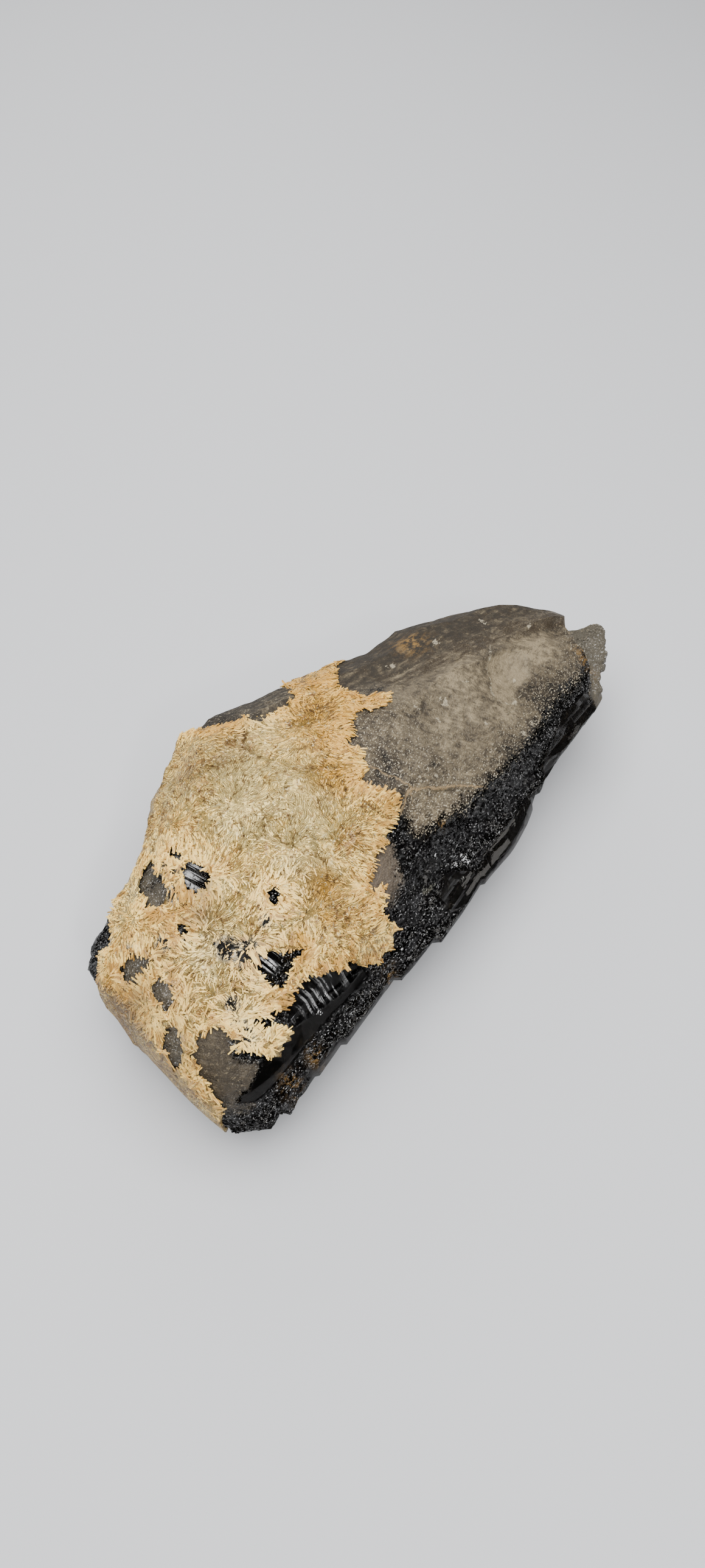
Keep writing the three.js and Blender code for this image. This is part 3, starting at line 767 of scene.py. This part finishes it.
folds = np.abs(lumps(points, 12, seed=4)) * 2 + np.abs(lumps(points, 4.5, seed=14)) * 1.1 - 0.7
folds *= 1 - 0.4 * at_edge
relief = outer * (FOLD_HEIGHT * folds + CRUMB_HEIGHT * lumps(points, 1.9, seed=9))
move(crust.data, points + normals * (relief / 1000)[:, None])
near_lobes = ramp(along, 30, 42) * ramp(across, -12, -20)  # steep, but bladed like the upper side
# steep sides are painted darker and duller, as shade, and get fewer blades
flank = ramp(normals[:, 2], 0.7, 0.15) * (1 - 0.85 * near_lobes)
store(
    crust.data,
    at_edge=at_edge,
    golden=spotted(plan, GOLDEN),
    white=spotted(plan, WHITE),
    brown=spotted(plan, BROWN),
    thin=spotted(plan, THIN),
    flank=np.maximum(flank, 0.75 * spotted(plan, SHADE_PATCHES)),
    bladed=outer * (at_edge + 0.025) * (1 - flank),
)
for name, directions in {"growth": growth, "sideways": np.cross(normals, growth)}.items():
    lay = crust.data.attributes.new(name, "FLOAT_VECTOR", "POINT")
    lay.data.foreach_set("vector", directions.astype(np.float32).ravel())
crust.data.shade_smooth()

TAN = (0.51, 0.275, 0.055, 1)
CREAM = (1.0, 0.685, 0.188, 1)
CHALK = (1.0, 0.757, 0.280, 1)
GOLD = (0.58, 0.295, 0.034, 1)
RUST = (0.46, 0.21, 0.045, 1)
FLANK_SHADE_TAN = (0.46, 0.32, 0.15, 1)
BROWN_STAIN = (0.22, 0.135, 0.060, 1)
SEAM_SHADE = (0.21, 0.095, 0.022, 1)
DARK_TONE_AND_CREVICE_SHADE = (0.14, 0.064, 0.015, 1)
PAINTED_GLEAM = (1.0, 0.86, 0.52, 1)  # painted highlights: pearly faces shown catching the light
FIBRE_GREY = (0.66, 0.58, 0.41, 1)
DARK_GLASS = (0.010, 0.009, 0.008, 1)
LATH_BUMP = 0.0011


def feldspar_colour(wire, place, paleness):
    """Cream feldspar: chalky on some swells, tan to golden towards its edge, brown in a few stains, and a
    duller tan of painted shade on its steep sides.
    """
    patch = place.stretch(13).grain(3, 0.6)
    spot = place.stretch(2.6).grain(4, 0.72)
    pale = paleness + (patch - 0.5) * 2.8 + (spot - 0.5) * 2.8
    pale = pale + mask(wire, "white") - mask(wire, "at_edge") * 0.4
    return wire.colour(TAN).under(
        (pale.rise(-0.25, 0.65), 1, CREAM),
        (pale.rise(0.65, 1.35), 1, CHALK),
        (spot.rise(0.40, 0.30), 0.5, RUST),
        (mask(wire, "golden") * spot.rise(0.30, 0.50), 1, GOLD),
        # painted shade: the steep sides and a few patches are a duller tan
        (mask(wire, "flank") * spot.rise(0.75, 0.25), 0.65, FLANK_SHADE_TAN),
        (mask(wire, "brown") * spot.rise(0.36, 0.52), 0.8, BROWN_STAIN),
    )


class Lay:
    """A felt of straight laths in bundles: the tone of each lath, and how near its edge a place is."""

    def __init__(self, wire, place, bundle, length, width, turn):
        spread = place.stretch(bundle)
        wobble = wire.node("ShaderNodeTexNoise", {}, {"Vector": spread, "Scale": 2.0, "Detail": 2}, "Color")
        bent = spread.offset("ADD", wobble)
        cells = wire.node("ShaderNodeTexVoronoi", {}, {"Vector": bent, "Scale": 1}, "Position")
        local = spread.offset("SUBTRACT", cells)
        growth = wire.node("ShaderNodeAttribute", {"attribute_name": "growth"}, output="Vector")
        sideways = wire.node("ShaderNodeAttribute", {"attribute_name": "sideways"}, output="Vector")
        bundle_number = cells.also("Color").dot((3.0, 5.0, 7.0))
        ahead = local.dot(growth)
        aside = local.dot(sideways)
        cosine, sine = float(np.cos(turn)), float(np.sin(turn))
        lengthways = (ahead * cosine + aside * sine) * (bundle / length)
        crossways = (aside * cosine - ahead * sine) * (bundle / width)
        sockets = {0: lengthways, 1: crossways, 2: bundle_number}
        self.laid = wire.node("ShaderNodeCombineXYZ", {}, sockets)
        sockets = {"Vector": self.laid, "Scale": 1}
        self.tone = wire.node("ShaderNodeTexVoronoi", {}, sockets, "Color").dot((0.4, 0.3, 0.3))
        settings = {"feature": "DISTANCE_TO_EDGE"}
        self.edge = wire.node("ShaderNodeTexVoronoi", settings, sockets, "Distance")


mass, wire = new_material("feldspar mass")
place = wire.node("ShaderNodeTexCoord", output="Object")
broad = Lay(wire, place, bundle=5.0, length=3.6, width=0.62, turn=0.3)
slim = Lay(wire, place, bundle=3.2, length=2.2, width=0.36, turn=-0.35)
slim_share = place.stretch(2.2).grain(1, 0.5).rise(0.46, 0.54)
tone = broad.tone * (1 - slim_share) + slim.tone * slim_share
edge = broad.edge * (1 - slim_share) + slim.edge * slim_share
bands = broad.laid.scaled((0.35, 0.3, 1)).grain(2, 0.6)
fibres = broad.laid.scaled((1.2, 4.0, 1)).grain(2, 0.6)
crumb = place.stretch(0.8).grain(2, 0.6)
gappy = place.stretch(1.8).grain(2, 0.6).rise(0.36, 0.56)
crease_shade = 1 - (place.stretch(9).grain(3, 0.5, distortion=0.8) - 0.5).maths("ABSOLUTE").rise(0.004, 0.026)
pits = crumb.rise(0.38, 0.30)
lath_seam_shade = 1 - edge.rise(0.02, 0.12)
shade_share = 1 - mask(wire, "white") * 0.1
thin = mask(wire, "thin")
bare_glass = (thin + (tone - 0.5) * 1.2 - edge * 1.1).rise(0.30, 0.42) * thin.rise(0.1, 0.2)
stone = feldspar_colour(wire, place, tone * 1.5 - 0.05 + (fibres - 0.5) * 1.8 + (bands - 0.5) * 2.2)
# painted shade in the seams between laths, in pits and in creases, with less of it on the chalky swells
stone = stone.under(
    (lath_seam_shade * gappy * shade_share, 0.9, SEAM_SHADE),
    ((pits * 0.8 + crease_shade * (gappy * 0.4 + 0.4)) * shade_share, 1, DARK_TONE_AND_CREVICE_SHADE),
    # painted highlights on the laths
    (crumb.rise(0.60, 0.68), 0.5, PAINTED_GLEAM),
    (thin.rise(0.1, 0.5), 0.8, FIBRE_GREY),
    (bare_glass, 1, DARK_GLASS),
)
lath_height = tone * 0.8 + edge.rise(0.0, 0.3) * 0.5 + fibres * 0.25 - pits * 0.6
lath_height = lath_height * (mask(wire, "flank") * 0.8 + 1)
ripple = wire.node("ShaderNodeBump", {}, {"Strength": 1.0, "Distance": LATH_BUMP, "Height": lath_height})
finish_material(wire, principled(wire, Base_Color=stone, Roughness=0.58 - tone * 0.22, Normal=ripple))
crust.data.materials.append(mass)
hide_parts("feldspar_crust")
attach(crust, "root")

# Blades: thin, pointed laths of the same feldspar, grown out from many centres in fans.
# They lie nearly flat on the crust and stand a little over its edge.
BLADE_LENGTH = 0.0032
BLADE_WIDTH = 0.00078
BLADE_THICKNESS = 0.00036
BLADE_LIFT = 0.03  # how steeply a blade rises from the crust
BLADE_SINK = 0.2  # share of its thickness that it is sunk into the crust
BLADE_SWAY = Vector((0.25, 0.07, 0.24))  # the most that a blade turns from its heading, in radians
LEAST_GROWN = (0.5, 0.6, 0.7)  # shares of the length, width and thickness
MOST_GROWN = (1.2, 1.3, 1.3)
INNER_SIZE = 0.5  # size of the blades far from the crust's edge
EDGE_GAIN = 0.6  # and what the ones at the edge have more
FOOT_RADIUS = 0.5  # of a blade whose length and width are 1
TIP_RADIUS = 0.3
BEHIND_SPOT = 0.35  # share of its length that lies behind the spot where it grows
BLADES_PER_SQUARE_MM = 3.6  # at the crust's edge
BLADE_LAYERS = {"blades_lower_layer": 3, "blades_upper_layer": 8}  # with the seed of each

blade_material, wire = new_material("feldspar blade")
place = wire.node("ShaderNodeTexCoord", output="Object")
tone = mask(wire, "blade_tone")
stone = feldspar_colour(wire, place, tone * 0.8 + 0.1).under(((1 - tone).rise(0.75, 1.0), 0.6, DARK_TONE_AND_CREVICE_SHADE))
finish_material(wire, principled(wire, Base_Color=stone, Roughness=0.5))


def blade_tree():
    """Geometry Nodes that grow blades on a surface along its growth attribute."""
    tree = bpy.data.node_groups.new("blades", "GeometryNodeTree")
    tree.interface.new_socket("Geometry", in_out="OUTPUT", socket_type="NodeSocketGeometry")
    tree.interface.new_socket("Geometry", in_out="INPUT", socket_type="NodeSocketGeometry")
    for name in ("Density", "Length", "Width", "Thickness", "Lift"):
        tree.interface.new_socket(name, in_out="INPUT", socket_type="NodeSocketFloat")
    tree.interface.new_socket("Seed", in_out="INPUT", socket_type="NodeSocketInt")
    tree.interface.new_socket("Material", in_out="INPUT", socket_type="NodeSocketMaterial")
    start = Wire(tree)
    group_input = tree.nodes.new("NodeGroupInput")
    given = {socket.name: Wire(tree, socket) for socket in group_input.outputs}

    def stored(name, data_type="FLOAT"):
        return start.node("GeometryNodeInputNamedAttribute", {"data_type": data_type}, {"Name": name})

    def grown(vector, amount):
        return start.node("ShaderNodeVectorMath", {"operation": "SCALE"}, {0: vector, "Scale": amount})

    def varied(data_type, least, most, seed):
        """A random value for each blade, between two."""
        first = 2 if data_type == "FLOAT" else 0
        sockets = {first: least, first + 1: most, "Seed": seed}
        return start.node("FunctionNodeRandomValue", {"data_type": data_type}, sockets, output=first // 2)

    def transformed(geometry, **change):
        return start.node("GeometryNodeTransform", {}, {"Geometry": geometry} | change)

    # Where the blades grow
    scatter_sockets = {
        "Mesh": given["Geometry"],
        "Density": given["Density"] * stored("bladed"),
        "Seed": given["Seed"],
    }
    scattered = start.node("GeometryNodeDistributePointsOnFaces", {}, scatter_sockets, "Points")
    normal = scattered.also("Normal")
    sunk = grown(normal, given["Thickness"] * -BLADE_SINK)
    spots = start.node("GeometryNodeSetPosition", {}, {"Geometry": scattered, "Offset": sunk})

    # Which way each one points, and how far it has grown
    heading = stored("growth", "FLOAT_VECTOR").offset("ADD", grown(normal, given["Lift"]))
    facing = start.node(
        "FunctionNodeAxesToRotation",
        {"primary_axis": "X", "secondary_axis": "Z"},
        {"Primary Axis": heading, "Secondary Axis": normal},
    )
    sway = varied("FLOAT_VECTOR", -BLADE_SWAY, BLADE_SWAY, given["Seed"])
    turn = start.node("FunctionNodeEulerToRotation", {}, {0: sway})
    facing = start.node("FunctionNodeRotateRotation", {"rotation_space": "LOCAL"}, {0: facing, 1: turn})
    share = varied("FLOAT_VECTOR", LEAST_GROWN, MOST_GROWN, given["Seed"] + 1)
    share = grown(share, stored("at_edge") * EDGE_GAIN + INNER_SIZE)

    # One blade of four sides, tapered, laid along its heading
    taper = {"Vertices": 4, "Radius Top": TIP_RADIUS, "Radius Bottom": FOOT_RADIUS, "Depth": 1.0}
    lath = start.node("GeometryNodeMeshCone", {"fill_type": "NGON"}, taper)
    lath = transformed(lath, Rotation=(0, 0, np.pi / 4))
    lath = transformed(lath, Rotation=(0, np.pi / 2, 0))
    lath = transformed(lath, Translation=(-BEHIND_SPOT, 0, 0))
    sizes = {0: given["Length"], 1: given["Width"], 2: given["Thickness"]}
    lath = transformed(lath, Scale=start.node("ShaderNodeCombineXYZ", {}, sizes))

    blades = start.node(
        "GeometryNodeInstanceOnPoints",
        {},
        {"Points": spots, "Instance": lath, "Rotation": facing, "Scale": share},
    )
    blades = start.node(
        "GeometryNodeStoreNamedAttribute",
        {"data_type": "FLOAT", "domain": "INSTANCE"},
        {"Geometry": blades, "Name": "blade_tone", "Value": varied("FLOAT", 0.0, 1.0, given["Seed"] + 2)},
    )
    blades = start.node("GeometryNodeRealizeInstances", {}, {"Geometry": blades})
    blades = start.node("GeometryNodeSetMaterial", {}, {"Geometry": blades, "Material": given["Material"]})
    start.node("NodeGroupOutput", {}, {"Geometry": blades})
    return tree


blade_nodes = blade_tree()
inputs = [item for item in blade_nodes.interface.items_tree if item.in_out == "INPUT"]
sockets = {item.name: item.identifier for item in inputs}
for layer_name, seed in BLADE_LAYERS.items():
    layer = bpy.data.objects.new(layer_name, crust.data.copy())
    bpy.context.scene.collection.objects.link(layer)
    grower = layer.modifiers.new("Blades", "NODES")
    grower.node_group = blade_nodes
    grower[sockets["Density"]] = BLADES_PER_SQUARE_MM * 1e6 / len(BLADE_LAYERS)
    grower[sockets["Length"]] = BLADE_LENGTH
    grower[sockets["Width"]] = BLADE_WIDTH
    grower[sockets["Thickness"]] = BLADE_THICKNESS
    grower[sockets["Lift"]] = BLADE_LIFT
    grower[sockets["Seed"]] = seed
    grower[sockets["Material"]] = blade_material
    bake_modifiers(layer)
    move(layer.data, read(layer.data, "co"))
    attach(layer, "root")
